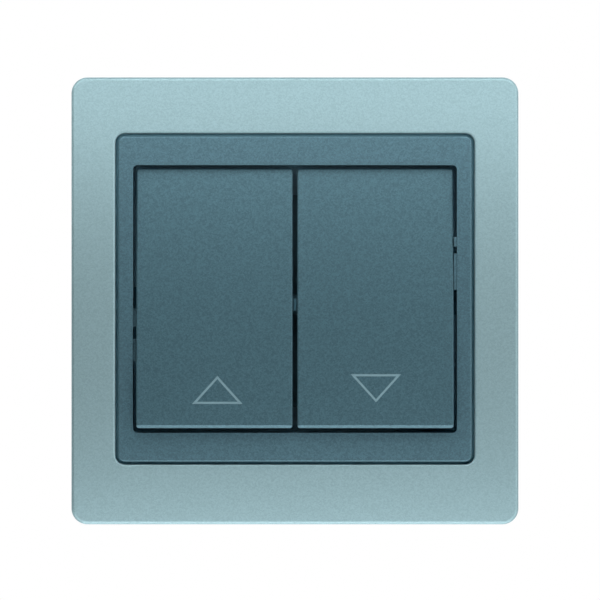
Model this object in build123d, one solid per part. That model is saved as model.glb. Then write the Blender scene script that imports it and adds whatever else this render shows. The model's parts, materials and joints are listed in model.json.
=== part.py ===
from build123d import *
from math import cos, radians, sin, sqrt
import os

# Roller shutter push switch for a 60 mm wall box, in millimetres.
# The front faces -Y, +X is to the right, +Z is up, and the wall plane is Y = 0.
# The origin is on the wall plane, in the middle of the cover frame.

# Cover frame
frame_corner_radius = 3.0
frame_edge = 0.45
frame_lip = 0.3
frame_wall = 2.0
frame_face_thickness = 2.0
frame_band_side = 8.25
frame_band_top = 10.55
frame_band_bottom = 11.25
frame_rib_thickness = 1.2
frame_rib_height = 3.2
frame_rib_spacing = 24.0
frame_collar_wall = 1.4
frame_collar_height = 2.6
ledge_thickness = 1.6

# Bezel
bezel_gap = 0.5
bezel_corner_radius = 1.3
bezel_edge = 0.25
bezel_flange_thickness = 2.4
bezel_face_thickness = 1.6
bezel_overhang = 1.8
bezel_wall = 1.0
bezel_skirt_beyond = 0.4
bezel_bar_side = 2.83
bezel_bar_top = 5.45
bezel_bar_bottom = 5.49
bezel_skirt_clearance = 0.15
bezel_rib_thickness = 0.9
bezel_rib_spacing = 19.0
field_corner_radius = 0.8
leg_offset = 8.0
leg_width = 6.0
leg_thickness = 1.4
leg_hook = 0.6
leg_hook_length = 1.8
leg_clearance = 0.15
guide_clearance = 0.1
guide_right_recess = 0.15
guide_left_recess = 0.6
screen_reach = 1.7
screen_height = 5.2
screen_thickness = 1.2

# Guide pads of the bezel beside the keys: height of the lower end above the axle, and length
guide_pads_right = [(2.8, 6.8), (10.9, 1.8)]
guide_pads_left = [(-10.7, 4.2), (-4.2, 3.4)]

# Keys
key_width = 29.3
key_rest_height = 48.68
key_gap_side = 0.65
key_gap_middle = 0.94
key_gap_top = 0.64
key_gap_bottom = 0.94
key_proud = 0.3
key_plate_thickness = 1.6
key_skirt_wall = 1.1
key_skirt_depth = 4.0
key_corner_radius = 0.5
key_edge = 0.2
key_bevel = 0.5
key_rest_tilt = 3.5
key_travel = 7.0
key_rib_thickness = 0.9
key_rib_height = 1.0
notch_clearance = 0.5
hook_width = 5.0
hook_thickness = 1.2
hook_barb = 0.5
hook_barb_height = 0.9
hook_clearance = 0.1

# Rockers and their axle
axle_z = -0.7
axle_radius = 1.0
axle_clearance = 0.05
pressed_clearance = 0.02
hub_radius = 2.0
rocker_clearance = 0.2
rocker_end_play = 0.4
wing_thickness = 1.3
wing_clearance = 0.2
wing_inner_gap = 0.45
wing_outer_gap = 2.65
wing_margin_top = 11.3
wing_margin_bottom = 7.5
wing_corner_radius = 1.0
wing_rib_thickness = 1.0
wing_rib_height = 1.2
hub_web_thickness = 2.4
nose_radius = 1.2
nose_width = 2.8
nose_gap = 0.05
cheek_width_middle = 3.2
cheek_width_outer = 2.0
cheek_radius = 1.9
cheek_spacer_thickness = 0.5
cheek_spacer_height = 2.2
cheek_spacer_recess = 0.6

# Support plate
plate_margin = 6.5
plate_corner_radius = 5.0
plate_thickness = 1.0
plate_clearance = 0.2
box_screw_inset = 5.5
box_slot_length = 5.6
box_slot_radius = 1.8

# Insert housing
cover_thickness = 2.0
cover_overlap = 1.0
cover_corner_radius = 3.5
spigot_clearance = 0.1
base_wall = 1.6
base_corner_radius = 3.0
base_edge = 1.0
floor_thickness = 1.5
screw_margin = 6.9
end_margin = 2.7
divider_thickness = 1.6
screw_inset = 2.0
boss_size = 4.2
boss_length = 8.5
boss_gap = 0.05
cover_screw_radius = 1.1
cover_screw_length = 10.0
cover_screw_head_radius = 2.1
cover_screw_slot = 0.6
screw_clearance = 0.05
core_wall = 1.5

# Plungers
channel_offset = 9.5
plunger_offset = 10.0
plunger_size = 3.6
plunger_clearance = 0.05
plunger_proud = 1.35
plunger_collar_size = 5.2
plunger_collar_thickness = 1.0
plunger_collar_gap = 0.1
plunger_tip_length = 1.85
plunger_tip_width = 1.6
plunger_tip_slope = 1.0

# Contact arms, springs and contacts
arm_gap = 0.05
arm_width = 5.0
arm_thickness = 0.8
arm_eye_radius = 1.25
arm_tip_margin = 1.7
contact_pin_z = 9.0
contact_pin_radius = 0.5
contact_pin_clearance = 0.05
contact_reach = 4.0
contact_size = 2.6
contact_height = 0.8
contact_crown = 0.2
contact_edge = 0.7
contact_closed_gap = 0.05
spring_length = 7.2
spring_radius = 1.9
spring_wire_radius = 0.2
spring_turns = 4
spring_steps_per_turn = 10
spring_peg_width = 2.2
spring_peg_height = 2.0
spring_peg_wall = 0.8
spring_clearance = 0.05
strip_thickness = 1.0
strip_clearance = 0.1
ear_thickness = 1.0
ear_gap = 0.1
bar_height = 5.0

# Terminals
terminal_width = 8.0
terminal_height = 7.0
terminal_length = 8.0
terminal_offset = 11.0
terminal_inset = 1.4
terminal_recess = 0.5
terminal_clearance = 0.2
wire_radius = 1.5
wire_wall = 1.1
wire_depth = 7.0
clamp_screw_radius = 1.5
clamp_screw_proud = 1.0
clamp_screw_slot = 0.6
clamp_screw_gap = 0.1

# Depths in front of the wall
cover_front_y = -plate_thickness - cover_thickness
axle_y = cover_front_y - rocker_clearance - hub_radius
wing_back_y = axle_y - hub_radius - wing_clearance
wing_front_y = wing_back_y - wing_thickness
key_face_y = wing_front_y - key_plate_thickness
face_y = key_face_y + key_proud
face_back_y = face_y + frame_face_thickness
ledge_y = face_y + bezel_flange_thickness
ledge_back_y = ledge_y + ledge_thickness
collar_back_y = ledge_back_y + frame_collar_height
skirt_back_y = collar_back_y + bezel_skirt_beyond

# Outlines, from the keys outwards
field_width = 2 * key_width + key_gap_middle + 2 * key_gap_side
field_height = key_rest_height + key_gap_top + key_gap_bottom
bezel_width = field_width + 2 * bezel_bar_side
bezel_height = field_height + bezel_bar_top + bezel_bar_bottom
skirt_width = bezel_width - 2 * bezel_overhang
skirt_height = bezel_height - 2 * bezel_overhang
opening_width = bezel_width + 2 * bezel_gap
opening_height = bezel_height + 2 * bezel_gap
frame_width = opening_width + 2 * frame_band_side
frame_height = opening_height + frame_band_top + frame_band_bottom
plate_width = frame_width - 2 * plate_margin
plate_height = frame_height - 2 * plate_margin

# Heights, with the middle of the cover frame at zero
bezel_z = (frame_band_bottom - frame_band_top) / 2
field_top = bezel_z + bezel_height / 2 - bezel_bar_top
field_bottom = bezel_z - bezel_height / 2 + bezel_bar_bottom
field_z = (field_top + field_bottom) / 2

# Keys and wings as they lie when they are level, before the tilt of the rest position
tilt = radians(key_rest_tilt)
key_height = key_rest_height / cos(tilt)
key_x = (key_gap_middle + key_width) / 2
key_rest_z = field_z + (key_gap_bottom - key_gap_top) / 2
key_z = axle_z + (key_rest_z - axle_z - (axle_y - key_face_y) * sin(tilt)) / cos(tilt)
wing_inner_x = key_gap_middle / 2 + key_skirt_wall + wing_inner_gap
wing_width = key_width - 2 * key_skirt_wall - wing_inner_gap - wing_outer_gap
wing_x = wing_inner_x + wing_width / 2
wing_top = key_z + key_height / 2 - wing_margin_top
wing_bottom = key_z - key_height / 2 + wing_margin_bottom

# Contact chamber, from the front to the back
plunger_z = axle_z - plunger_offset
collar_y = plunger_collar_gap
plunger_tip_y = collar_y + plunger_collar_thickness + plunger_tip_length
arm_y = plunger_tip_y + arm_gap
arm_back_y = arm_y + arm_thickness
contact_pin_y = arm_y + arm_thickness / 2
contact_z = plunger_z - contact_reach
moving_tip_y = arm_back_y + contact_height
floor_y = arm_back_y + spring_length
terminal_y = floor_y + floor_thickness
base_depth = terminal_y + terminal_length + terminal_recess

# Travel of the moving contact: the lower edge of its crown meets the fixed contact first
arm_ratio = plunger_offset / (contact_pin_z - plunger_z)
arm_swing = radians(key_travel) * arm_ratio
crown_low = contact_pin_z - contact_z + contact_size / 2 - contact_edge
closed_y = (moving_tip_y - contact_pin_y) * cos(arm_swing) + crown_low * sin(arm_swing)
fixed_tip_y = contact_pin_y + closed_y + contact_closed_gap
strip_y = fixed_tip_y + contact_height
strip_back_y = strip_y + strip_thickness

# Outline of the insert
chamber_half_width = channel_offset + arm_width / 2 + screw_margin
chamber_half_height = -contact_z + end_margin
base_half_width = chamber_half_width + base_wall
base_half_height = chamber_half_height + base_wall
screw_x = chamber_half_width - screw_inset
screw_z = chamber_half_height - screw_inset
terminal_outer_z = base_half_height - terminal_inset
wire_z = terminal_outer_z - terminal_height + wire_wall + wire_radius
rocker_inner_x = cheek_width_middle / 2 + rocker_end_play
cheek_outer_x = chamber_half_width
rocker_outer_x = cheek_outer_x - rocker_end_play


def between(x_from, x_to, y_from, y_to, z_from, z_to):
    middle = Pos((x_from + x_to) / 2, (y_from + y_to) / 2, (z_from + z_to) / 2)
    return middle * Box(x_to - x_from, y_to - y_from, z_to - z_from)


def prism(outline, y_from, y_to):
    """Extrude an outline, drawn as X and Z, from one depth to another."""
    return extrude(Plane.XZ.offset(-y_to) * outline, y_to - y_from)


def cross_section(points, x_from, x_to):
    """Extrude a closed outline of Y and Z points along X."""
    outline = make_face(Polyline(*points, close=True))
    return extrude(Plane.YZ.offset(x_from) * outline, x_to - x_from)


def rounded(width, height, radius, x=0.0, z=0.0):
    return Pos(x, z) * RectangleRounded(width, height, radius)


def disc(radius, x, z, y_from, y_to):
    return prism(Pos(x, z) * Circle(radius), y_from, y_to)


def rod_along_x(radius, x_from, x_to, y, z):
    return Pos((x_from + x_to) / 2, y, z) * Rot(0, 90, 0) * Cylinder(radius, x_to - x_from)


def rod_along_z(radius, x, y, z_from, z_to):
    return Pos(x, y, (z_from + z_to) / 2) * Cylinder(radius, z_to - z_from)


def square_bar(size, x, z, y_from, y_to):
    return prism(Pos(x, z) * Rectangle(size, size), y_from, y_to)


def turned(points, x, z):
    """Spin a closed outline of radius and Y points about the line through X and Z."""
    outline = make_face(Polyline(*points, close=True))
    return Pos(x, 0, z) * revolve(outline, Axis.Y)


def opening_outline(offset=0.0):
    radius = bezel_corner_radius + bezel_gap + offset
    return rounded(opening_width + 2 * offset, opening_height + 2 * offset, radius, z=bezel_z)


def skirt_outline(offset=0.0):
    return rounded(skirt_width + 2 * offset, skirt_height + 2 * offset, bezel_corner_radius, z=bezel_z)


def field_outline(offset=0.0):
    radius = field_corner_radius + offset
    return rounded(field_width + 2 * offset, field_height + 2 * offset, radius, z=field_z)


def rest_position(shape):
    """Turn a level key or rocker about the axle to its place at rest, lower edge proud."""
    return shape.rotate(Axis((0, axle_y, axle_z), (1, 0, 0)), -key_rest_tilt)


# Cover frame
def frame_ribs():
    """Short stiffening ribs between collar and wall, and longer ones that locate the support plate."""
    half_x = frame_width / 2 - frame_wall
    half_z = frame_height / 2 - frame_wall
    plate_x = plate_width / 2 + plate_clearance
    plate_z = plate_height / 2 + plate_clearance
    half = frame_rib_thickness / 2
    low_y = face_back_y + frame_rib_height
    ribs = []
    for place in (-1, 0, 1):
        at = place * frame_rib_spacing
        inner_x = opening_width / 2 + bezel_gap
        inner_z = opening_height / 2 + bezel_gap
        ribs.append(between(-half_x, -inner_x, face_back_y, low_y, at - half, at + half))
        ribs.append(between(inner_x, half_x, face_back_y, low_y, at - half, at + half))
        ribs.append(between(at - half, at + half, face_back_y, low_y, bezel_z + inner_z, half_z))
        ribs.append(between(at - half, at + half, face_back_y, low_y, -half_z, bezel_z - inner_z))
    for place in (-1, 1):
        at = place * frame_rib_spacing
        ribs.append(between(-half_x, -plate_x, low_y, -plate_clearance, at - half, at + half))
        ribs.append(between(plate_x, half_x, low_y, -plate_clearance, at - half, at + half))
        ribs.append(between(at - half, at + half, low_y, -plate_clearance, plate_z, half_z))
        ribs.append(between(at - half, at + half, low_y, -plate_clearance, -half_z, -plate_z))
    return ribs


def cover_frame():
    body = prism(rounded(frame_width, frame_height, frame_corner_radius), face_y, 0)
    body = chamfer(body.faces().sort_by(Axis.Y)[0].edges(), frame_edge)
    inside = rounded(
        frame_width - 2 * frame_wall, frame_height - 2 * frame_wall, frame_corner_radius - frame_wall
    )
    body -= prism(inside, face_back_y, 0)
    body += prism(opening_outline(frame_collar_wall), face_back_y, ledge_back_y)
    body += prism(skirt_outline(bezel_skirt_clearance + frame_collar_wall), ledge_back_y, collar_back_y)
    body += frame_ribs()
    body -= prism(opening_outline(), face_y, ledge_y)
    body -= prism(skirt_outline(bezel_skirt_clearance), ledge_y, 0)
    lip = body.faces().sort_by(Axis.Y)[0].inner_wires()[0].edges()
    return chamfer(lip, frame_lip)


# Bezel
def bezel_leg(x, upwards):
    """Spring leg with a hook that snaps behind the support plate."""
    outer = bezel_z + upwards * skirt_height / 2
    inner = outer - upwards * leg_thickness
    hook = outer + upwards * leg_hook
    points = [
        (ledge_y, inner),
        (ledge_y, outer),
        (leg_clearance, outer),
        (leg_clearance, hook),
        (leg_clearance + leg_hook_length, outer),
        (leg_clearance + leg_hook_length, inner),
    ]
    return cross_section(points, x - leg_width / 2, x + leg_width / 2)


def bezel_ribs():
    """Ribs that join the wall of the key field to the outer skirt, above and below the keys."""
    half = bezel_rib_thickness / 2
    back_y = skirt_back_y - bezel_wall
    top = bezel_z + skirt_height / 2
    bottom = bezel_z - skirt_height / 2
    ribs = []
    for place in (-1, 0, 1):
        at = place * bezel_rib_spacing
        ribs.append(between(at - half, at + half, ledge_y, back_y, field_top, top))
        ribs.append(between(at - half, at + half, ledge_y, back_y, bottom, field_bottom))
    return ribs


def guide_pads():
    """Pads on the side walls of the key field that keep the keys from rubbing."""
    key_side = field_width / 2 - key_gap_side + guide_clearance
    pads = []
    for start, length in guide_pads_right:
        z = axle_z + start
        front_y = face_y + guide_right_recess
        pads.append(between(key_side, field_width / 2, front_y, skirt_back_y, z, z + length))
    for start, length in guide_pads_left:
        z = axle_z + start
        front_y = face_y + guide_left_recess
        pads.append(between(-field_width / 2, -key_side, front_y, skirt_back_y, z, z + length))
    return pads


def screw_screens():
    """Tabs at the back of the key field that hide the box screws left and right of the keys."""
    inner = field_width / 2 - screen_reach
    outer = field_width / 2
    front_y = skirt_back_y - screen_thickness
    half = screen_height / 2
    return [
        between(-outer, -inner, front_y, skirt_back_y, -half, half),
        between(inner, outer, front_y, skirt_back_y, -half, half),
    ]


def bezel():
    flange = rounded(bezel_width, bezel_height, bezel_corner_radius, z=bezel_z)
    body = prism(flange, face_y, ledge_y)
    body = chamfer(body.faces().sort_by(Axis.Y)[0].edges(), bezel_edge)
    body += prism(skirt_outline(), ledge_y, skirt_back_y)
    hollow = skirt_outline(-bezel_wall) - field_outline(bezel_wall)
    body -= prism(hollow, face_y + bezel_face_thickness, skirt_back_y)
    body += bezel_ribs()
    body += [bezel_leg(x, upwards) for x in (-leg_offset, leg_offset) for upwards in (-1, 1)]
    body -= prism(field_outline(), face_y, skirt_back_y)
    body += guide_pads()
    body += screw_screens()
    return body


# Keys
def key_hooks():
    """Snap hooks that grip the rocker's wing at its upper and lower ends."""
    top_y = key_face_y + key_plate_thickness
    catch_y = wing_back_y + hook_clearance
    end_y = catch_y + hook_barb_height
    hooks = []
    for z, way in ((wing_top + hook_clearance, 1), (wing_bottom - hook_clearance, -1)):
        points = [
            (top_y, z),
            (catch_y, z),
            (catch_y, z - way * hook_barb),
            (end_y, z),
            (end_y, z + way * hook_thickness),
            (top_y, z + way * hook_thickness),
        ]
        hooks.append(cross_section(points, wing_x - hook_width / 2, wing_x + hook_width / 2))
    return hooks


def key_ribs():
    """Stiffening ribs under the face, beyond the ends of the rocker's wing."""
    top_y = key_face_y + key_plate_thickness
    inner_x = key_x - key_width / 2 + key_skirt_wall
    outer_x = key_x + key_width / 2 - key_skirt_wall
    above = wing_top + hook_clearance + hook_thickness + key_rib_thickness
    below = wing_bottom - hook_clearance - hook_thickness - key_rib_thickness
    half = key_rib_thickness / 2
    ribs = []
    for z in (above, below):
        ribs.append(between(inner_x, outer_x, top_y, top_y + key_rib_height, z - half, z + half))
    upper = key_z + key_height / 2 - key_skirt_wall
    lower = key_z - key_height / 2 + key_skirt_wall
    ribs.append(between(key_x - half, key_x + half, top_y, top_y + key_rib_height, above, upper))
    ribs.append(between(key_x - half, key_x + half, top_y, top_y + key_rib_height, lower, below))
    return ribs


def cheek_notch():
    """Cut in the inner skirt that leaves the middle bearing cheek free."""
    top_y = axle_y - cheek_radius - notch_clearance
    half = cheek_radius + notch_clearance
    inner_x = key_x - key_width / 2
    wide = inner_x + key_skirt_wall
    return between(inner_x, wide, top_y, key_face_y + key_skirt_depth, axle_z - half, axle_z + half)


def key_right():
    outline = rounded(key_width, key_height, key_corner_radius, key_x, key_z)
    body = prism(outline, key_face_y, key_face_y + key_skirt_depth)
    body = chamfer(body.faces().sort_by(Axis.Y)[0].edges(), key_edge)
    low = key_z - key_height / 2
    bevel = [(key_face_y, low), (key_face_y, low + key_bevel), (key_face_y + key_bevel, low)]
    body -= cross_section(bevel, key_x - key_width / 2, key_x + key_width / 2)
    width = key_width - 2 * key_skirt_wall
    height = key_height - 2 * key_skirt_wall
    inside = Pos(key_x, key_z) * Rectangle(width, height)
    body -= prism(inside, key_face_y + key_plate_thickness, key_face_y + key_skirt_depth)
    body += key_hooks()
    body += key_ribs()
    return rest_position(body - cheek_notch())


# Rockers
def rocker_right():
    """Wing under the key cap, hub on the axle, and the nose that pushes the plunger."""
    middle_z = (wing_top + wing_bottom) / 2
    wing = rounded(wing_width, wing_top - wing_bottom, wing_corner_radius, wing_x, middle_z)
    body = prism(wing, wing_front_y, wing_back_y)
    body += rod_along_x(hub_radius, rocker_inner_x, rocker_outer_x, axle_y, axle_z)
    half = hub_web_thickness / 2
    body += between(rocker_inner_x, rocker_outer_x, wing_back_y, axle_y, axle_z - half, axle_z + half)
    rib_top = wing_top - wing_corner_radius - hook_barb
    rib_bottom = wing_bottom + wing_corner_radius + hook_barb
    for x in (rocker_inner_x, rocker_outer_x - wing_rib_thickness):
        rib_y = wing_back_y + wing_rib_height
        body += between(x, x + wing_rib_thickness, wing_back_y, rib_y, rib_bottom, rib_top)
    body -= rod_along_x(
        axle_radius + axle_clearance, rocker_inner_x, rocker_outer_x, axle_y, axle_z
    )
    body = rest_position(body)
    nose_y = cover_front_y - plunger_proud - nose_gap - nose_radius
    root_y = wing_back_y - plunger_offset * sin(tilt) - wing_thickness / 2
    x_from = channel_offset - nose_width / 2
    x_to = channel_offset + nose_width / 2
    low = plunger_z - nose_radius
    high = plunger_z + nose_radius
    body += between(x_from, x_to, root_y, nose_y, low, high)
    return body + rod_along_x(nose_radius, x_from, x_to, nose_y, plunger_z)


def rocker_axle():
    end = cheek_outer_x + cheek_width_outer
    return rod_along_x(axle_radius, -end, end, axle_y, axle_z)


# Support plate
def support_plate():
    body = prism(rounded(plate_width, plate_height, plate_corner_radius), -plate_thickness, 0)
    body -= prism(Rectangle(2 * chamber_half_width, 2 * chamber_half_height), -plate_thickness, 0)
    slot = SlotOverall(box_slot_length, 2 * box_slot_radius)
    slot_x = plate_width / 2 - box_screw_inset
    slot_z = plate_height / 2 - box_screw_inset
    for side in (-1, 1):
        body -= prism(Pos(side * slot_x, 0) * slot, -plate_thickness, 0)
        body -= prism(Pos(0, side * slot_z) * Rot(0, 0, 90) * slot, -plate_thickness, 0)
    for upwards in (-1, 1):
        outer = bezel_z + upwards * (skirt_height / 2 + leg_clearance)
        inner = outer - upwards * (leg_thickness + leg_hook + 2 * leg_clearance)
        for x in (-leg_offset, leg_offset):
            half = leg_width / 2 + leg_clearance
            body -= between(x - half, x + half, -plate_thickness, 0, min(inner, outer), max(inner, outer))
    return body


# Insert housing
def screw_places():
    """The two screws stand in opposite corners of the contact chamber."""
    return [(-screw_x, screw_z), (screw_x, -screw_z)]


def bearing_cheek(x_from, x_to):
    """Upright with a rounded top around the axle."""
    body = rod_along_x(cheek_radius, x_from, x_to, axle_y, axle_z)
    return body + between(
        x_from, x_to, axle_y, cover_front_y, axle_z - cheek_radius, axle_z + cheek_radius
    )


def mechanism_cover():
    half_x = base_half_width + cover_overlap
    half_z = base_half_height + cover_overlap
    body = prism(rounded(2 * half_x, 2 * half_z, cover_corner_radius), cover_front_y, -plate_thickness)
    spigot_x = chamber_half_width - spigot_clearance
    spigot_z = chamber_half_height - spigot_clearance
    body += prism(Rectangle(2 * spigot_x, 2 * spigot_z), -plate_thickness, 0)
    body += bearing_cheek(-cheek_width_middle / 2, cheek_width_middle / 2)
    spacer_y = face_y + cheek_spacer_recess
    half = cheek_spacer_thickness / 2
    high = cheek_spacer_height / 2
    body += between(-half, half, spacer_y, axle_y, axle_z - high, axle_z + high)
    for x in (-cheek_outer_x - cheek_width_outer, cheek_outer_x):
        body += bearing_cheek(x, x + cheek_width_outer)
    end = cheek_outer_x + cheek_width_outer
    body -= rod_along_x(axle_radius + pressed_clearance, -end, end, axle_y, axle_z)
    for x in (-channel_offset, channel_offset):
        body -= square_bar(plunger_size + 2 * plunger_clearance, x, plunger_z, cover_front_y, 0)
    for x, z in screw_places():
        body -= countersunk(x, z, screw_clearance, 0.0)
    return body


def countersunk(x, z, clearance, back_y):
    """Cone and shank of a countersunk screw, grown by the clearance for its hole."""
    head = cover_screw_head_radius + clearance
    shank = cover_screw_radius + clearance
    cone_y = cover_front_y + cover_screw_head_radius - cover_screw_radius
    points = [(0, cover_front_y), (head, cover_front_y), (shank, cone_y), (shank, back_y), (0, back_y)]
    return turned(points, x, z)


def cover_screws():
    screws = []
    for x, z in screw_places():
        screw = countersunk(x, z, 0.0, cover_front_y + cover_screw_length)
        half = cover_screw_slot / 2
        reach = cover_screw_head_radius
        bottom_y = cover_front_y + cover_screw_slot
        screws.append(screw - between(x - reach, x + reach, cover_front_y, bottom_y, z - half, z + half))
    return Compound(screws)


def terminal_places():
    """Name, X place and side (1 at the top, -1 at the bottom) of each terminal."""
    return [("common", 0.0, 1), ("up", -terminal_offset, -1), ("down", terminal_offset, -1)]


def terminal_pocket(x, side):
    """Room for a terminal block, open to the back for the wire and to the side for the screw."""
    half = terminal_width / 2 + terminal_clearance
    inner = terminal_outer_z - terminal_height - terminal_clearance
    outer = base_half_height
    z_from = inner if side > 0 else -outer
    z_to = outer if side > 0 else -inner
    return between(x - half, x + half, terminal_y, base_depth, z_from, z_to)


def rear_cores():
    """Hollows cored out of the base from the back, so that every wall has an even thickness."""
    inner_z = terminal_outer_z - terminal_height - terminal_clearance - core_wall
    top_x = terminal_width / 2 + terminal_clearance + core_wall
    low_x = terminal_offset - top_x
    side_x = terminal_offset + top_x
    edge_x = base_half_width - core_wall
    edge_z = base_half_height - core_wall
    half = core_wall / 2
    rows = [
        (top_x, edge_x, inner_z + core_wall, edge_z),
        (-edge_x, -top_x, inner_z + core_wall, edge_z),
        (-low_x, low_x, -edge_z, -inner_z - core_wall),
        (half, edge_x, half, inner_z),
        (-edge_x, -half, half, inner_z),
        (half, edge_x, -inner_z, -half),
        (-edge_x, -half, -inner_z, -half),
    ]
    if edge_x - side_x > core_wall:
        rows.append((side_x, edge_x, -edge_z, -inner_z - core_wall))
        rows.append((-edge_x, -side_x, -edge_z, -inner_z - core_wall))
    return [between(x0, x1, terminal_y, base_depth, z0, z1) for x0, x1, z0, z1 in rows]


def tail_z():
    """Middle of a strip's tail, close to the end wall of the contact chamber."""
    return -chamber_half_height + strip_clearance + strip_thickness / 2


def contact_chamber():
    """What stands in the chamber: divider, screw bosses, contact ledges and spring pegs."""
    half = divider_thickness / 2
    divider_top = contact_pin_z - bar_height
    parts = [between(-half, half, boss_gap, floor_y, -chamber_half_height, divider_top)]
    for x, z in screw_places():
        post = square_bar(boss_size, x, z, boss_gap, boss_length)
        parts.append(post - disc(cover_screw_radius + screw_clearance, x, z, boss_gap, boss_length))
    ledge_low = tail_z() + strip_thickness / 2 + strip_clearance
    ledge_high = contact_z + contact_size / 2
    wide = arm_width / 2
    peg = spring_peg_width / 2
    thin = spring_peg_wall / 2
    peg_y = floor_y - spring_peg_height
    for x in (-channel_offset, channel_offset):
        parts.append(between(x - wide, x + wide, strip_back_y, floor_y, ledge_low, ledge_high))
        parts.append(between(x - peg, x + peg, peg_y, floor_y, plunger_z - thin, plunger_z + thin))
        parts.append(between(x - thin, x + thin, peg_y, floor_y, plunger_z - peg, plunger_z + peg))
    return parts


def mechanism_base():
    outline = rounded(2 * base_half_width, 2 * base_half_height, base_corner_radius)
    body = prism(outline, 0, base_depth)
    body = chamfer(body.faces().sort_by(Axis.Y)[-1].edges(), base_edge)
    body -= prism(Rectangle(2 * chamber_half_width, 2 * chamber_half_height), 0, floor_y)
    body += contact_chamber()
    body -= [terminal_pocket(x, side) for name, x, side in terminal_places()]
    body -= rear_cores()
    half = arm_width / 2 + strip_clearance
    thick = strip_thickness / 2 + strip_clearance
    for x in (-channel_offset, channel_offset):
        z = tail_z()
        body -= between(x - half, x + half, floor_y, terminal_y, z - thick, z + thick)
    z = common_tail_z()
    body -= between(-half, half, floor_y, terminal_y, z - thick, z + thick)
    return body


# Plungers
def plunger(x):
    """Square push pin with a collar that holds it in the cover and a wedge-shaped tip."""
    head_y = cover_front_y - plunger_proud
    shoulder_y = plunger_tip_y - plunger_tip_slope
    body = square_bar(plunger_size, x, plunger_z, head_y, shoulder_y)
    collar_end_y = collar_y + plunger_collar_thickness
    body += square_bar(plunger_collar_size, x, plunger_z, collar_y, collar_end_y)
    wide = plunger_size / 2
    tip = plunger_tip_width / 2
    points = [
        (shoulder_y, plunger_z - wide),
        (shoulder_y, plunger_z + wide),
        (plunger_tip_y, plunger_z + tip),
        (plunger_tip_y, plunger_z - tip),
    ]
    return body + cross_section(points, x - wide, x + wide)


# Contact arms
def contact_arm(x):
    """Flat strip with a rolled eye at the top and a pressed step that centres the spring."""
    half = arm_width / 2
    low = contact_z - arm_tip_margin
    body = between(x - half, x + half, arm_y, arm_back_y, low, contact_pin_z)
    body += rod_along_x(arm_eye_radius, x - half, x + half, contact_pin_y, contact_pin_z)
    body += square_bar(spring_peg_width, x, plunger_z, arm_back_y, arm_back_y + arm_thickness)
    hole = contact_pin_radius + contact_pin_clearance
    return body - rod_along_x(hole, x - half, x + half, contact_pin_y, contact_pin_z)


def contact_pin(x):
    half = arm_width / 2 + ear_gap + ear_thickness
    return rod_along_x(contact_pin_radius, x - half, x + half, contact_pin_y, contact_pin_z)


def contact_pad(x, tip_y, seat_y):
    """Square contact pad, welded to its strip, with a sloped edge round its crown."""
    way = 1 if tip_y > seat_y else -1
    edge_y = tip_y - way * contact_crown
    wide = contact_size / 2
    tip = wide - contact_edge
    points = [(seat_y, -wide), (seat_y, wide), (edge_y, wide), (tip_y, tip), (tip_y, -tip), (edge_y, -wide)]
    bar = cross_section(points, -wide, wide)
    return Pos(x, 0, contact_z) * (bar & bar.rotate(Axis.Y, 90))


def moving_contact(x):
    return contact_pad(x, moving_tip_y, arm_back_y)


def fixed_contact(x):
    return contact_pad(x, fixed_tip_y, strip_y)


def return_spring(x):
    """Compression spring between the contact arm and the floor, its coil in short straight runs."""
    start_y = arm_back_y + spring_wire_radius + spring_clearance
    length = spring_length - 2 * spring_wire_radius - 2 * spring_clearance
    steps = spring_turns * spring_steps_per_turn
    points = []
    for step in range(steps + 1):
        angle = radians(360 * step / spring_steps_per_turn)
        y = start_y + length * step / steps
        points.append((x + spring_radius * cos(angle), y, plunger_z + spring_radius * sin(angle)))
    path = Polyline(*points)
    wire = Plane(origin=path @ 0, z_dir=path % 0) * RegularPolygon(spring_wire_radius, 6)
    return sweep(wire, path=path, transition=Transition.RIGHT)


# Current paths
def output_strip(x):
    """Angled strip: one leg carries the fixed contact, the other runs back to the terminal block."""
    half = arm_width / 2
    z = tail_z()
    low = z - strip_thickness / 2
    high = z + strip_thickness / 2
    body = between(x - half, x + half, strip_y, strip_back_y, low, contact_z + contact_size / 2)
    return body + between(x - half, x + half, strip_back_y, terminal_y, low, high)


def common_tail_z():
    return contact_pin_z + bar_height / 2 + strip_thickness / 2


def common_bar():
    """Bar on the chamber's floor with two ears for each contact arm and a tail to its terminal."""
    end = channel_offset + arm_width / 2 + ear_gap + ear_thickness
    low = contact_pin_z - bar_height / 2
    high = contact_pin_z + bar_height / 2
    body = between(-end, end, floor_y - strip_thickness, floor_y, low, high)
    ear_low = contact_pin_z - arm_eye_radius
    ear_high = contact_pin_z + arm_eye_radius
    ear_y = contact_pin_y - arm_eye_radius
    hole = contact_pin_radius + pressed_clearance
    for channel in (-channel_offset, channel_offset):
        for side in (-1, 1):
            middle = channel + side * (arm_width / 2 + ear_gap + ear_thickness / 2)
            x_from = middle - ear_thickness / 2
            x_to = middle + ear_thickness / 2
            body += between(x_from, x_to, ear_y, floor_y, ear_low, ear_high)
            body -= rod_along_x(hole, x_from, x_to, contact_pin_y, contact_pin_z)
    half = arm_width / 2
    tail_from = common_tail_z() - strip_thickness / 2
    tail_to = common_tail_z() + strip_thickness / 2
    return body + between(-half, half, floor_y - strip_thickness, terminal_y, tail_from, tail_to)


# Terminals
def terminal_block(x, side):
    """Clamp block with a blind hole for the wire and a threaded hole for its screw."""
    half = terminal_width / 2
    inner = side * (terminal_outer_z - terminal_height)
    outer = side * terminal_outer_z
    back_y = terminal_y + terminal_length
    body = between(x - half, x + half, terminal_y, back_y, min(inner, outer), max(inner, outer))
    body -= disc(wire_radius, x, side * wire_z, back_y - wire_depth, back_y)
    screw = clamp_screw_radius + screw_clearance
    reach = side * wire_z
    hole = rod_along_z(screw, x, terminal_screw_y(), min(reach, outer), max(reach, outer))
    return body - hole


def terminal_screw_y():
    return terminal_y + terminal_length - wire_depth / 2


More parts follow.
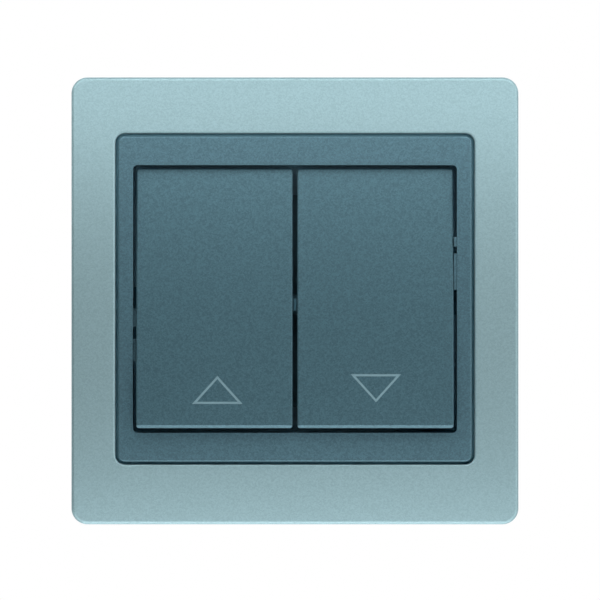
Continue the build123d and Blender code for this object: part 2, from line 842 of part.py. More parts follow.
def terminal_screw(x, side):
    """Headless clamp screw backed out of the wire hole, as it is delivered."""
    y = terminal_screw_y()
    tip = wire_z + wire_radius + clamp_screw_gap
    head = terminal_outer_z + clamp_screw_proud
    body = rod_along_z(clamp_screw_radius, x, y, tip, head)
    half = clamp_screw_slot / 2
    wide = clamp_screw_radius
    body -= between(x - wide, x + wide, y - half, y + half, head - clamp_screw_slot, head)
    return body if side > 0 else mirror(body, about=Plane.XY)


def assembly():
    parts = {
        "cover_frame": cover_frame(),
        "bezel": bezel(),
        "support_plate": support_plate(),
        "mechanism_cover": mechanism_cover(),
        "mechanism_base": mechanism_base(),
        "cover_screws": cover_screws(),
        "rocker_axle": rocker_axle(),
        "common_bar": common_bar(),
    }
    key = key_right()
    rocker = rocker_right()
    parts["key_down"] = key
    parts["key_up"] = mirror(key, about=Plane.YZ)
    parts["rocker_down"] = rocker
    parts["rocker_up"] = mirror(rocker, about=Plane.YZ)
    for name, x in (("up", -channel_offset), ("down", channel_offset)):
        parts["plunger_" + name] = plunger(x)
        parts["contact_arm_" + name] = contact_arm(x)
        parts["contact_pin_" + name] = contact_pin(x)
        parts["moving_contact_" + name] = moving_contact(x)
        parts["fixed_contact_" + name] = fixed_contact(x)
        parts["output_strip_" + name] = output_strip(x)
        parts["return_spring_" + name] = return_spring(x)
    for name, x, side in terminal_places():
        parts["terminal_block_" + name] = terminal_block(x, side)
        parts["terminal_screw_" + name] = terminal_screw(x, side)
    return parts


os.makedirs("parts", exist_ok=True)
for node, shape in assembly().items():
    export_step(shape, "parts/" + node + ".step")
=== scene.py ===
import json
import math

import bpy
from bpy.props import FloatProperty, FloatVectorProperty, IntProperty, PointerProperty
from mathutils import Matrix, Vector

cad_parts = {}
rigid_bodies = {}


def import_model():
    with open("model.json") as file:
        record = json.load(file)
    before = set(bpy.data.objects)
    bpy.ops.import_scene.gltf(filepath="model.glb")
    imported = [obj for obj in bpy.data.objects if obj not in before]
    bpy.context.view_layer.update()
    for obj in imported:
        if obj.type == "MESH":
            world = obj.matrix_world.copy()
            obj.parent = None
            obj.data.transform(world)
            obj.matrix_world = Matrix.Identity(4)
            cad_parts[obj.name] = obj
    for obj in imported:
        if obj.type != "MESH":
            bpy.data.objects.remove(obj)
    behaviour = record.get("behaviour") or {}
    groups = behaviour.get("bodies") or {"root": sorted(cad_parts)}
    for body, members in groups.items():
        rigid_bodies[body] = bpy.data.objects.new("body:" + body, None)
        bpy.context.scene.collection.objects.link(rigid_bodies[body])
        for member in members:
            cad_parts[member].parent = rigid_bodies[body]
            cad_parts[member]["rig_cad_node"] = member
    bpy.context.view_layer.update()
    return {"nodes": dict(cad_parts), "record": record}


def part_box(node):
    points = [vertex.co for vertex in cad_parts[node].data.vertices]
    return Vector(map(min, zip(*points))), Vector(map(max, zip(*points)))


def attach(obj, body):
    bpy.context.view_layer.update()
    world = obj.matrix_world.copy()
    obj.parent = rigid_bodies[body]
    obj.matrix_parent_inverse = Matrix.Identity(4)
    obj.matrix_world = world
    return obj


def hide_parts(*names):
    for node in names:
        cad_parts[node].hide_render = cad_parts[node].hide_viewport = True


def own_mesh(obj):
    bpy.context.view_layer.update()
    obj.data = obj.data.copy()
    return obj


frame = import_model()
nodes = frame["nodes"]
bodies = frame["record"]["behaviour"]["bodies"]
body_of_node = {node: body for body, members in bodies.items() for node in members}

bl_info = {
    "name": "Roller shutter switch",
    "version": (1, 0, 0),
    "blender": (4, 5, 0),
    "location": "View3D > Sidebar > Shutter Switch",
    "description": "Paint, printed signs, springs and screws of a roller shutter switch",
    "category": "Object",
}

# Painted shade in the recesses: how deep the paint colour covers the frame's opening and the keys before the
# painted shade colour takes over, how wide a rim of the frame keeps the paint colour all the way back, and the
# way over which the paint colour turns into painted shade
FIELD_SHADE_DEPTH = 0.0014
KEY_SHADE_DEPTH = 0.003
RIM_UNSHADED = 0.002
SHADE_FADE = 0.0006

# Relief of each finish's bump
PAINT_RELIEF = 0.000006
MOULDED_RELIEF = 0.00001
INK_RELIEF = 0.000002
METAL_RELIEF = 0.000004

# Rounding of the sheet metal's edges, and of the thin strips'
SHEET_ROUND = 0.00008
STRIP_ROUND = 0.00006

# Mesh work: distance at which points merge, also where two lengths of wire meet, and the slack of a cut
MERGE = 0.000002
WIRE_MERGE = 0.00001
CUT_SLACK = 0.0000001

# Angle up to which two faces are one, angle from which an edge is rounded, and angles up to which mouldings,
# wire and threads are shaded smooth
FLAT_ANGLE = math.radians(0.4)
SHARP_ANGLE = math.radians(28)
SMOOTH_ANGLE = math.radians(35)
WIRE_ANGLE = math.radians(50)
THREAD_ANGLE = math.radians(30)

# Sides and steps of round pieces
WIRE_SIDES = 10
COIL_STEPS = 28
THREAD_STEPS = 24
BAR_SIDES = 48

# Thread profile as shares of the pitch: each flank, the crest and the root
FLANK = 0.42
CREST = 0.12
ROOT = 0.04


# Sizes and colours that a user would change
class SwitchPaint(bpy.types.PropertyGroup):
    cover: FloatVectorProperty(
        name="Cover frame", description="Paint of the cover frame", subtype="COLOR",
        default=(0.254, 0.382, 0.413)
    )
    inset: FloatVectorProperty(
        name="Bezel", description="Paint of the bezel", subtype="COLOR", default=(0.069, 0.1435, 0.179)
    )
    keys: FloatVectorProperty(
        name="Keys", description="Paint of the two keys", subtype="COLOR", default=(0.0655, 0.139, 0.172)
    )
    # Painted shade: colours that stand in for the shade and bluish bounce light in the recesses, walls and
    # backs of the cover frame, bezel and keys, in place of their paint
    recess_shade_cover: FloatVectorProperty(
        name="Frame painted shade", description="Painted shade of the cover frame behind its front and inside its rim", subtype="COLOR",
        default=(0.21, 0.45, 0.54)
    )
    recess_shade: FloatVectorProperty(
        name="Painted shade", description="Painted shade of bezel and keys behind their fronts", subtype="COLOR",
        default=(0.05, 0.175, 0.25)
    )
    sign: FloatVectorProperty(
        name="Signs", description="Ink of the printed triangles", subtype="COLOR", default=(0.16, 0.27, 0.31)
    )
    tint: FloatVectorProperty(
        name="Sheen tint", description="Tint of the paint's reflections", subtype="COLOR",
        default=(0.8, 0.92, 1.0)
    )
    metallic: FloatProperty(
        name="Metallic", description="Share of metal flake in the paint", default=0.35, subtype="FACTOR"
    )
    roughness: FloatProperty(
        name="Roughness", description="Sheen of the paint, from polished to dull", default=0.42,
        subtype="FACTOR"
    )
    flake: FloatProperty(
        name="Flake size", description="Size of one fleck in the paint", default=0.00022, unit="LENGTH"
    )
    sparkle_cover: FloatProperty(
        name="Frame sparkle", description="Difference between the frame's flecks", default=0.17,
        subtype="FACTOR"
    )
    sparkle: FloatProperty(
        name="Sparkle", description="Difference between the flecks of bezel and keys", default=0.4,
        subtype="FACTOR"
    )


class SwitchSigns(bpy.types.PropertyGroup):
    width: FloatProperty(name="Width", description="Width of a triangle", default=0.0095, unit="LENGTH")
    height: FloatProperty(name="Height", description="Height of a triangle", default=0.0053, unit="LENGTH")
    line: FloatProperty(
        name="Line", description="Thickness of the printed line", default=0.00042, unit="LENGTH"
    )
    ink: FloatProperty(name="Ink", description="Thickness of the ink layer", default=0.00003, unit="LENGTH")
    up_place: FloatVectorProperty(
        name="Up sign", description="Middle of the up triangle, across and up", size=2,
        default=(-0.01456, -0.0167)
    )
    down_place: FloatVectorProperty(
        name="Down sign", description="Middle of the down triangle, across and up", size=2,
        default=(0.01520, -0.0164)
    )


class SwitchMouldings(bpy.types.PropertyGroup):
    painted_round: FloatProperty(
        name="Painted edges", description="Rounding of frame and bezel", default=0.00014, unit="LENGTH"
    )
    key_round: FloatProperty(
        name="Key edges", description="Rounding of the keys' edges", default=0.00025, unit="LENGTH"
    )
    plain_round: FloatProperty(
        name="Plain edges", description="Rounding of the other mouldings' edges", default=0.0001, unit="LENGTH"
    )
    rocker: FloatVectorProperty(
        name="Rockers", description="Plastic of the rockers", subtype="COLOR", default=(0.70, 0.70, 0.66)
    )
    housing: FloatVectorProperty(
        name="Housing", description="Plastic of the insert's rear half", subtype="COLOR",
        default=(0.44, 0.46, 0.46)
    )
    # Partly painted shade: the insert's front is made dark blue so that the gaps round the keys show blue-black
    # shade
    front: FloatVectorProperty(
        name="Insert front", description="Plastic of the insert's front half", subtype="COLOR",
        default=(0.042, 0.13, 0.175)
    )
    plunger: FloatVectorProperty(
        name="Plungers", description="Plastic of the plungers", subtype="COLOR", default=(0.60, 0.54, 0.40)
    )


class SwitchMetals(bpy.types.PropertyGroup):
    # Partly painted shade: the sheet's blue is stronger than zinc would be, so that the gaps in front of it
    # show bluish shade
    plate: FloatVectorProperty(
        name="Plate", description="Zinc on the sheet, blued for the shade in the gaps", subtype="COLOR",
        default=(0.28, 0.50, 0.60)
    )
    steel: FloatVectorProperty(
        name="Steel", description="Screws, pins and axle", subtype="COLOR", default=(0.56, 0.56, 0.55)
    )
    brass: FloatVectorProperty(
        name="Brass", description="Current carrying strips and blocks", subtype="COLOR",
        default=(0.66, 0.46, 0.16)
    )
    silver: FloatVectorProperty(
        name="Contacts", description="Silver faced contacts", subtype="COLOR", default=(0.78, 0.77, 0.74)
    )


class SwitchSpring(bpy.types.PropertyGroup):
    wire: FloatProperty(name="Wire", description="Radius of the spring wire", default=0.0002, unit="LENGTH")
    coil: FloatProperty(name="Coil", description="Radius of the coil", default=0.0019, unit="LENGTH")
    turns: IntProperty(name="Turns", description="Working turns between the closed ends", default=4, min=1)


class SwitchScrews(bpy.types.PropertyGroup):
    pitch: FloatProperty(
        name="Pitch", description="Pitch of the clamp screws' thread", default=0.0005, unit="LENGTH"
    )
    depth: FloatProperty(
        name="Thread depth", description="Depth of the thread", default=0.00026, unit="LENGTH"
    )
    slot: FloatProperty(name="Slot", description="Width and depth of the slot", default=0.0006, unit="LENGTH")
    chamfer: FloatProperty(name="Chamfer", description="Chamfer at both ends", default=0.0003, unit="LENGTH")


class SwitchStage(bpy.types.PropertyGroup):
    distance: FloatProperty(name="Distance", description="Camera to wall plane", default=1.0, unit="LENGTH")
    view: FloatProperty(name="View", description="Width that the picture shows", default=0.11271, unit="LENGTH")
    aside: FloatProperty(
        name="Aside", description="Camera to the right of the middle", default=0.00095, unit="LENGTH"
    )
    above: FloatProperty(name="Above", description="Camera above the middle", default=0.00016, unit="LENGTH")
    floor: FloatProperty(name="Floor", description="Height of the floor", default=-0.10, unit="LENGTH")
    wrap: FloatProperty(
        name="Wrap", description="Light of the white wall behind the switch", default=0.9, subtype="FACTOR"
    )


GROUPS = {
    "switch_paint": SwitchPaint,
    "switch_signs": SwitchSigns,
    "switch_mouldings": SwitchMouldings,
    "switch_metals": SwitchMetals,
    "switch_spring": SwitchSpring,
    "switch_screws": SwitchScrews,
    "switch_stage": SwitchStage,
}


# Shader node groups that several finishes share
def new_group(name, inputs, outputs):
    """Empty node group with Value, Color or Vector sockets, and its input and output nodes."""
    group = bpy.data.node_groups.new(name, "ShaderNodeTree")
    for label, kind in inputs:
        group.interface.new_socket(label, in_out="INPUT", socket_type=kind)
    for label, kind in outputs:
        group.interface.new_socket(label, in_out="OUTPUT", socket_type=kind)
    return group, group.nodes.new("NodeGroupInput"), group.nodes.new("NodeGroupOutput")


def math_node(tree, operation, first, second):
    """Math node on two values, each a socket or a number."""
    node = tree.nodes.new("ShaderNodeMath")
    node.operation = operation
    for socket, value in zip(node.inputs, (first, second)):
        if hasattr(value, "links"):
            tree.links.new(value, socket)
        else:
            socket.default_value = value
    return node.outputs[0]


def noise(tree, vector, scale, detail):
    """Noise of a scale per metre, given as a socket or a number."""
    node = tree.nodes.new("ShaderNodeTexNoise")
    node.inputs["Detail"].default_value = detail
    tree.links.new(vector, node.inputs["Vector"])
    if hasattr(scale, "links"):
        tree.links.new(scale, node.inputs["Scale"])
    else:
        node.inputs["Scale"].default_value = scale
    return node.outputs["Fac"]


def brighten(tree, color, factor):
    """Multiply a colour by a value."""
    node = tree.nodes.new("ShaderNodeVectorMath")
    node.operation = "SCALE"
    tree.links.new(color, node.inputs[0])
    tree.links.new(factor, node.inputs["Scale"])
    return node.outputs[0]


def around(tree, value, middle, spread):
    """Bring a noise value to middle plus or minus about half the spread."""
    centred = math_node(tree, "SUBTRACT", value, 0.5)
    scaled = math_node(tree, "MULTIPLY", centred, spread)
    return math_node(tree, "ADD", scaled, middle)


def paint_or_shade_mask(group, given):
    """Mask between paint and painted shade: paint colour in front of the depth and beyond the reach, painted
    shade colour elsewhere, changing softly.
    """
    place = group.nodes.new("ShaderNodeSeparateXYZ")
    group.links.new(given.outputs["Vector"], place.inputs[0])
    across = math_node(group, "ABSOLUTE", place.outputs["X"], 0.0)
    high = math_node(group, "ABSOLUTE", place.outputs["Z"], 0.0)
    outward = math_node(group, "SUBTRACT", math_node(group, "MAXIMUM", across, high), given.outputs["Reach"])
    forward = math_node(group, "SUBTRACT", given.outputs["Depth"], place.outputs["Y"])
    nearer = math_node(group, "MAXIMUM", outward, forward)
    fading = math_node(group, "DIVIDE", nearer, SHADE_FADE)
    fading.node.use_clamp = True
    return fading


def flake_group():
    """Metallic flake under a satin coat: flecks of different brightness over a soft mottle, with a painted
    shade colour in place of the paint behind the depth and inside the reach.
    """
    group, given, out = new_group(
        "Metal flake",
        [("Vector", "NodeSocketVector"), ("Color", "NodeSocketColor"), ("Recess Shade", "NodeSocketColor"),
         ("Depth", "NodeSocketFloat"), ("Reach", "NodeSocketFloat"), ("Size", "NodeSocketFloat"),
         ("Sparkle", "NodeSocketFloat"), ("Roughness", "NodeSocketFloat")],
        [("Color", "NodeSocketColor"), ("Roughness", "NodeSocketFloat"), ("Height", "NodeSocketFloat")],
    )
    scale = math_node(group, "DIVIDE", 1.0, given.outputs["Size"])
    cells = group.nodes.new("ShaderNodeTexVoronoi")
    group.links.new(given.outputs["Vector"], cells.inputs["Vector"])
    group.links.new(scale, cells.inputs["Scale"])
    split = group.nodes.new("ShaderNodeSeparateColor")
    group.links.new(cells.outputs["Color"], split.inputs[0])
    fleck = around(group, split.outputs[0], 1.0, given.outputs["Sparkle"])
    cloud = noise(group, given.outputs["Vector"], scale=900.0, detail=4.0)
    mottle = around(group, cloud, middle=1.0, spread=0.06)
    both = math_node(group, "MULTIPLY", fleck, mottle)
    blend = group.nodes.new("ShaderNodeMix")
    blend.data_type = "RGBA"
    group.links.new(paint_or_shade_mask(group, given), blend.inputs["Factor"])
    group.links.new(given.outputs["Recess Shade"], blend.inputs["A"])
    group.links.new(brighten(group, given.outputs["Color"], both), blend.inputs["B"])
    group.links.new(blend.outputs["Result"], out.inputs["Color"])
    sheen = around(group, split.outputs[1], given.outputs["Roughness"], spread=0.08)
    group.links.new(sheen, out.inputs["Roughness"])
    peel = noise(group, given.outputs["Vector"], scale=1400.0, detail=1.0)
    fleck_share = 0.25
    fine = math_node(group, "MULTIPLY", split.outputs[2], fleck_share)
    group.links.new(math_node(group, "ADD", peel, fine), out.inputs["Height"])
    return group


def moulded_group():
    """Spark-eroded grain of a plain moulding, with a faint unevenness of tone."""
    group, given, out = new_group(
        "Moulded grain",
        [("Vector", "NodeSocketVector"), ("Color", "NodeSocketColor"), ("Grain", "NodeSocketFloat"),
         ("Roughness", "NodeSocketFloat")],
        [("Color", "NodeSocketColor"), ("Roughness", "NodeSocketFloat"), ("Height", "NodeSocketFloat")],
    )
    scale = math_node(group, "DIVIDE", 1.0, given.outputs["Grain"])
    grain = noise(group, given.outputs["Vector"], scale, detail=3.0)
    cloud = noise(group, given.outputs["Vector"], scale=120.0, detail=3.0)
    wide = around(group, cloud, middle=1.0, spread=0.08)
    fine = around(group, grain, middle=1.0, spread=0.05)
    tone = math_node(group, "MULTIPLY", wide, fine)
    group.links.new(brighten(group, given.outputs["Color"], tone), out.inputs["Color"])
    group.links.new(around(group, grain, given.outputs["Roughness"], spread=0.12), out.inputs["Roughness"])
    group.links.new(grain, out.inputs["Height"])
    return group


def drawn_group():
    """Rolled or drawn metal: streaks along one direction, blotches of plating and fine scratches."""
    group, given, out = new_group(
        "Drawn metal",
        [("Vector", "NodeSocketVector"), ("Color", "NodeSocketColor"), ("Stretch", "NodeSocketVector"),
         ("Roughness", "NodeSocketFloat")],
        [("Color", "NodeSocketColor"), ("Roughness", "NodeSocketFloat"), ("Height", "NodeSocketFloat")],
    )
    stretched = group.nodes.new("ShaderNodeVectorMath")
    stretched.operation = "MULTIPLY"
    group.links.new(given.outputs["Vector"], stretched.inputs[0])
    group.links.new(given.outputs["Stretch"], stretched.inputs[1])
    streak = noise(group, stretched.outputs[0], scale=1500.0, detail=4.0)
    blotch = noise(group, given.outputs["Vector"], scale=260.0, detail=5.0)
    fine = around(group, streak, middle=1.0, spread=0.22)
    wide = around(group, blotch, middle=1.0, spread=0.3)
    tone = math_node(group, "MULTIPLY", fine, wide)
    group.links.new(brighten(group, given.outputs["Color"], tone), out.inputs["Color"])
    rough = around(group, streak, given.outputs["Roughness"], spread=0.18)
    group.links.new(around(group, blotch, rough, spread=0.15), out.inputs["Roughness"])
    group.links.new(streak, out.inputs["Height"])
    return group


def shared_group(name):
    """The shader node group of that name, built the first time it is asked for."""
    makers = {"Metal flake": flake_group, "Moulded grain": moulded_group, "Drawn metal": drawn_group}
    return bpy.data.node_groups.get(name) or makers[name]()


def patterned(name, group_name, values):
    """Material whose colour comes from a shared group on Object coordinates, and that group's node."""
    material = bpy.data.materials.new(name)
    material.use_nodes = True
    tree = material.node_tree
    place = tree.nodes.new("ShaderNodeTexCoord")
    pattern = tree.nodes.new("ShaderNodeGroup")
    pattern.node_tree = shared_group(group_name)
    tree.links.new(place.outputs["Object"], pattern.inputs["Vector"])
    for label, value in values.items():
        pattern.inputs[label].default_value = value
    tree.links.new(pattern.outputs["Color"], tree.nodes["Principled BSDF"].inputs["Base Color"])
    return material, pattern


def finish(name, group_name, values, relief, metallic=0.0, tint=(1.0, 1.0, 1.0)):
    """Material whose colour, roughness and relief come from a shared group."""
    material, pattern = patterned(name, group_name, values)
    tree = material.node_tree
    shader = tree.nodes["Principled BSDF"]
    tree.links.new(pattern.outputs["Roughness"], shader.inputs["Roughness"])
    bump = tree.nodes.new("ShaderNodeBump")
    bump.inputs["Distance"].default_value = relief
    tree.links.new(pattern.outputs["Height"], bump.inputs["Height"])
    tree.links.new(bump.outputs["Normal"], shader.inputs["Normal"])
    shader.inputs["Metallic"].default_value = metallic
    shader.inputs["Specular Tint"].default_value = opaque(tint)
    return material


def opaque(color):
    """Colour with its alpha, as a socket takes it."""
    return (*color, 1.0)


def paint(name, color, recess_shade, sparkle, depth, reach=1.0):
    """Satin metallic spray paint in front of the depth and beyond the reach, and a painted shade colour
    elsewhere.
    """
    look = bpy.context.scene.switch_paint
    values = {
        "Color": opaque(color), "Recess Shade": opaque(recess_shade), "Depth": depth, "Reach": reach, "Size": look.flake,
        "Sparkle": sparkle, "Roughness": look.roughness,
    }
    return finish(name, "Metal flake", values, PAINT_RELIEF, metallic=look.metallic, tint=look.tint)


def moulded(name, color, grain=0.00025, roughness=0.5, relief=MOULDED_RELIEF):
    """Plain moulded plastic, or print on it."""
    values = {"Color": opaque(color), "Grain": grain, "Roughness": roughness}
    return finish(name, "Moulded grain", values, relief)


def metal(name, color, roughness, stretch=(1.0, 1.0, 0.05), share=1.0):
    """Metal whose streaks run along the axis with the small stretch."""
    values = {"Color": opaque(color), "Stretch": stretch, "Roughness": roughness}
    return finish(name, "Drawn metal", values, METAL_RELIEF, metallic=share)


# Modelling helpers
def pick(*pieces):
    """Select these pieces alone, the first one active."""
    bpy.ops.object.select_all(action="DESELECT")
    for piece in pieces:
        piece.select_set(True)
    bpy.context.view_layer.objects.active = pieces[0]


def bake_place(piece):
    """Put the piece's place into its mesh, so that its object sits at the origin."""
    pick(piece)
    bpy.ops.object.transform_apply(location=True, rotation=True, scale=True)


def edit(piece, kind="VERT"):
    """Open the piece in edit mode, to select points, edges or faces."""
    pick(piece)
    bpy.ops.object.mode_set(mode="EDIT")
    bpy.ops.mesh.select_mode(type=kind)


def leave_edit():
    """Back to object mode."""
    bpy.ops.object.mode_set(mode="OBJECT")


def select_rims(piece):
    """Select the edges round both ends of a bar along Z, in edit mode on edges."""
    level = 0.5
    bpy.ops.mesh.select_all(action="DESELECT")
    leave_edit()
    mesh = piece.data
    for line in mesh.edges:
        first, second = (mesh.vertices[index].co for index in line.vertices)
        along = (second - first).normalized()
        line.select = abs(along.z) < level
    bpy.ops.object.mode_set(mode="EDIT")


def apply_modifier(piece, kind, **settings):
    """Add a modifier of that kind with its settings and apply it."""
    pick(piece)
    modifier = piece.modifiers.new(kind.title(), kind)
    for label, value in settings.items():
        setattr(modifier, label, value)
    bpy.ops.object.modifier_apply(modifier=modifier.name)


def named(name):
    """The active object under a new name, with no finish yet."""
    piece = bpy.context.active_object
    piece.name = name
    piece.data.name = name
    piece.data.materials.clear()
    return piece


def softened(node, name, material, edge):
    """Copy a node's moulding, join its loose triangles and round its sharp edges."""
    pick(nodes[node])
    bpy.ops.object.duplicate()
    piece = named(name)
    del piece["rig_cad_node"]
    edit(piece)
    bpy.ops.mesh.select_all(action="SELECT")
    bpy.ops.mesh.remove_doubles(threshold=MERGE)
    bpy.ops.mesh.customdata_custom_splitnormals_clear()
    bpy.ops.mesh.dissolve_limited(angle_limit=FLAT_ANGLE)
    bpy.ops.mesh.select_mode(type="EDGE")
    bpy.ops.mesh.select_all(action="DESELECT")
    bpy.ops.mesh.edges_select_sharp(sharpness=SHARP_ANGLE)
    bpy.ops.mesh.bevel(offset=edge, segments=3, profile=0.5, clamp_overlap=True)
    leave_edit()
    bpy.ops.object.shade_smooth_by_angle(angle=SMOOTH_ANGLE)
    apply_modifier(piece, "WEIGHTED_NORMAL", keep_sharp=True, weight=100)
    piece.data.materials.append(material)
    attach(piece, body_of_node[node])
    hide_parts(node)
    return piece


def dress(material, *names):
    """Give CAD nodes their finish."""
    for name in names:
        slots = nodes[name].material_slots
        for slot in slots:
            slot.material = material
        if not slots:
            nodes[name].data.materials.append(material)


class SWITCH_OT_cover(bpy.types.Operator):
    """Cover frame and bezel with softly rounded edges, satin metallic paint and painted shade in their recesses
    """

    bl_idname = "switch.cover"
    bl_label = "Cover frame and bezel"

    def execute(self, context):
        look = context.scene.switch_paint
        edge = context.scene.switch_mouldings.painted_round
        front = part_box("cover_frame")[0].y
        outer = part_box("cover_frame")[1].x
        shell = paint(
            "Cover paint", look.cover, look.recess_shade_cover, look.sparkle_cover, front + FIELD_SHADE_DEPTH,
            reach=outer - RIM_UNSHADED,
        )
        cover = softened("cover_frame", "cover_shell", shell, edge)
        field = paint("Bezel paint", look.inset, look.recess_shade, look.sparkle, front + FIELD_SHADE_DEPTH)
        inset = softened("bezel", "bezel_shell", field, edge)
        return {"FINISHED"}


class SWITCH_OT_keys(bpy.types.Operator):
    """The two key caps with softly rounded edges, satin metallic paint and painted shade on their deeper walls
    """

    bl_idname = "switch.keys"
    bl_label = "Keys"

    def execute(self, context):
        edge = context.scene.switch_mouldings.key_round
        look = context.scene.switch_paint
        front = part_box("cover_frame")[0].y
        material = paint("Key paint", look.keys, look.recess_shade, look.sparkle, front + KEY_SHADE_DEPTH)
        for way in ("up", "down"):
            cap = softened("key_" + way, "key_cap_" + way, material, edge)
        return {"FINISHED"}


def key_front(node):
    """Middle and outward normal of a key's front face."""
    mesh = nodes[node].data
    forward = -0.9
    facing = [face for face in mesh.polygons if face.normal.y < forward]
    face = max(facing, key=lambda one: one.area)
    return face.center.copy(), face.normal.copy()


def sign(way, place, points_up, settings, material):
    """Outline of a triangle, printed on a key."""
    bpy.ops.object.select_all(action="DESELECT")
    bpy.ops.mesh.primitive_circle_add(vertices=3, radius=1.0, fill_type="NGON")
    piece = named("sign_" + way)
    corners = piece.data.vertices
    half = settings.width / 2
    rise = settings.height / 2
    if not points_up:
        rise = -rise
    for corner, (across, high) in zip(corners, ((0.0, rise), (-half, -rise), (half, -rise))):
        corner.co = Vector((across, high, 0.0))
    edit(piece, "FACE")
    bpy.ops.mesh.select_all(action="SELECT")
    bpy.ops.mesh.normals_make_consistent(inside=False)
    bpy.ops.mesh.inset(thickness=settings.line, use_even_offset=True)
    bpy.ops.mesh.delete(type="FACE")
    leave_edit()
    apply_modifier(piece, "SOLIDIFY", thickness=settings.ink, offset=0.0)
    middle, normal = key_front("key_" + way)
    up = Vector((0.0, 0.0, 1.0)) - normal * normal.z
    up.normalize()
    across = up.cross(normal)
    turn = Matrix((across, up, normal)).transposed().to_4x4()
    spot = Vector((place[0], 0.0, place[1]))
    spot.y = middle.y - ((spot.x - middle.x) * normal.x + (spot.z - middle.z) * normal.z) / normal.y
    lift = settings.ink * 0.4
    piece.matrix_world = Matrix.Translation(spot + normal * lift) @ turn
    bake_place(piece)
    piece.data.materials.append(material)
    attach(piece, way + "_rocker")
    return piece


class SWITCH_OT_signs(bpy.types.Operator):
    """Printed triangles: up on the left key, down on the right key"""

    bl_idname = "switch.signs"
    bl_label = "Signs"

    def execute(self, context):
        settings = context.scene.switch_signs
        ink = moulded("Sign ink", context.scene.switch_paint.sign, grain=0.0002, relief=INK_RELIEF)
        sign("up", settings.up_place, True, settings, ink)
        sign("down", settings.down_place, False, settings, ink)
        return {"FINISHED"}


class SWITCH_OT_insert(bpy.types.Operator):
    """Rockers, plungers and the two halves of the insert, with rounded edges"""

    bl_idname = "switch.insert"
    bl_label = "Insert mouldings"

    def execute(self, context):
        look = context.scene.switch_mouldings
        edge = look.plain_round
        # Painted shade in part: the insert front's dark blue makes the gaps between and round the keys look
        # shaded
        front = softened("mechanism_cover", "insert_front", moulded("Front plastic dark for gap shade", look.front), edge)
        rear = softened("mechanism_base", "insert_rear", moulded("Housing plastic", look.housing), edge)
        rocker = moulded("Rocker plastic", look.rocker, roughness=0.42)
        plunger = moulded("Plunger plastic", look.plunger, roughness=0.38)
        for way in ("up", "down"):
            piece = softened("rocker_" + way, "rocker_shell_" + way, rocker, edge)
            piece = softened("plunger_" + way, "plunger_shell_" + way, plunger, edge)
        return {"FINISHED"}


class SWITCH_OT_metals(bpy.types.Operator):
    """Finishes of the support plate, the current paths, the contacts and the pins"""

    bl_idname = "switch.metals"
    bl_label = "Metal pieces"

    def execute(self, context):
        look = context.scene.switch_metals
        # Painted shade in part: the sheet is blued so that the gaps in front of it look bluish in their shade
        zinc_and_gap_shade = metal("Zinc sheet blued for gap shade", look.plate, roughness=0.5, share=0.5)
        plate = softened("support_plate", "plate_sheet", zinc_and_gap_shade, SHEET_ROUND)
        brass = metal("Brass", look.brass, roughness=0.3)
        for node in ("common_bar", "terminal_block_common", "terminal_block_up", "terminal_block_down"):
            softened(node, node + "_body", brass, SHEET_ROUND)
        silver = metal("Contact silver", look.silver, roughness=0.25, stretch=(1.0, 1.0, 1.0))
        steel = metal("Plated steel", look.steel, roughness=0.3, stretch=(0.05, 1.0, 1.0))
        dress(steel, "rocker_axle", "cover_screws")
        for way in ("up", "down"):
            dress(steel, "contact_pin_" + way)
            dress(silver, "moving_contact_" + way, "fixed_contact_" + way)
            for node in ("contact_arm_" + way, "output_strip_" + way):
                softened(node, node + "_strip", brass, STRIP_ROUND)
        return {"FINISHED"}


def coil(name, wire, radius, length, turns):
    """Wire circle swept about the Y axis, from the front to the back."""
    bpy.ops.object.select_all(action="DESELECT")
    bpy.ops.mesh.primitive_circle_add(vertices=WIRE_SIDES, radius=wire, location=(radius, 0.0, 0.0))
    piece = named(name)
    bake_place(piece)
    apply_modifier(
        piece, "SCREW", axis="Y", angle=2 * math.pi, screw_offset=length / turns, iterations=turns,
        steps=COIL_STEPS, render_steps=COIL_STEPS, use_merge_vertices=False,
    )
    return piece


class SWITCH_OT_springs(bpy.types.Operator):
    """Round wire coils with closed ends in place of the plain ones"""

    bl_idname = "switch.springs"
    bl_label = "Return springs"

    def execute(self, context):
        settings = context.scene.switch_spring
        wire = settings.wire
        color = context.scene.switch_metals.steel
        material = metal("Spring steel", color, roughness=0.22, stretch=(1.0, 1.0, 1.0))
        for way in ("up", "down"):
            low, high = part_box("return_spring_" + way)
            front = low.y + wire
            back = high.y - wire
            closed = 2 * wire
            parts = [
                (front, closed, 1),
                (front + closed, back - front - 2 * closed, settings.turns),
                (back - closed, closed, 1),
            ]
            middle = (low + high) / 2
            pieces = []
            for start, length, turns in parts:
                piece = coil("spring_" + way, wire, settings.coil, length, turns)
                piece.location = (middle.x, start, middle.z)
                bake_place(piece)
                pieces.append(piece)
            pick(*pieces)
            bpy.ops.object.join()
            spring = named("spring_" + way)
            edit(spring, "EDGE")
            bpy.ops.mesh.select_all(action="SELECT")
            bpy.ops.mesh.remove_doubles(threshold=WIRE_MERGE)
            bpy.ops.mesh.select_all(action="DESELECT")
            bpy.ops.mesh.select_non_manifold()
            bpy.ops.mesh.edge_face_add()
            bpy.ops.mesh.select_all(action="SELECT")
            bpy.ops.mesh.normals_make_consistent(inside=False)
            leave_edit()
            bpy.ops.object.shade_smooth_by_angle(angle=WIRE_ANGLE)
            spring.data.materials.append(material)
            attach(spring, "switch_body")
            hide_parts("return_spring_" + way)
            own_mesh(spring)
        return {"FINISHED"}


def bar(name, radius, length):
    """Round bar that stands on the origin."""
    bpy.ops.object.select_all(action="DESELECT")
    bpy.ops.mesh.primitive_cylinder_add(
        vertices=BAR_SIDES, radius=radius, depth=length, location=(0.0, 0.0, length / 2)
    )
    piece = named(name)
    bake_place(piece)
    return piece


